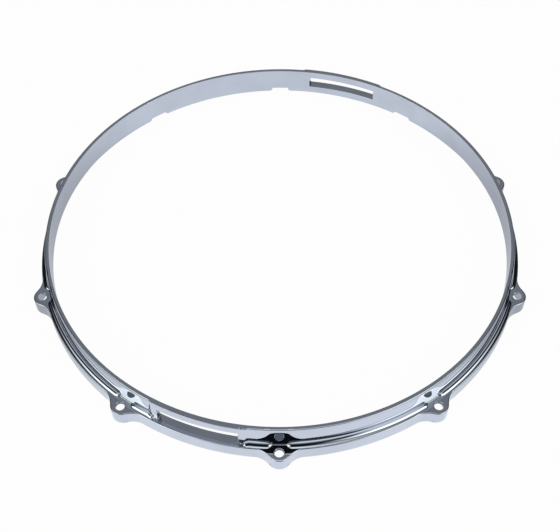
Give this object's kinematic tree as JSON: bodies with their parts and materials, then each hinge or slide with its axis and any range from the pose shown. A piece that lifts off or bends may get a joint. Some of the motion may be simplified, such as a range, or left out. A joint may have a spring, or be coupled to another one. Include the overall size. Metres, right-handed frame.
{
  "type": "die-cast drum hoop",
  "caption": "Round chrome-plated die-cast drum hoop with a raised collar, hollow ears for tension rods round its skirt, and a strap gate through the collar on two opposite sides.",
  "frame": {"origin": "on the hoop's axis, at the lower edge of the skirt that it lies on", "axes": "+Z along the hoop's axis, from the skirt towards the collar's rim; +X through the middle of an ear; +Y and -Y through the middle of the two gates"},
  "size_m": [0.3942, 0.3772, 0.029],
  "materials": {
    "chrome": "bright chrome plating on a smooth polished zinc casting"
  },
  "bodies": {
    "root": {"hoop_casting": "chrome"}
  },
  "joints": []
}
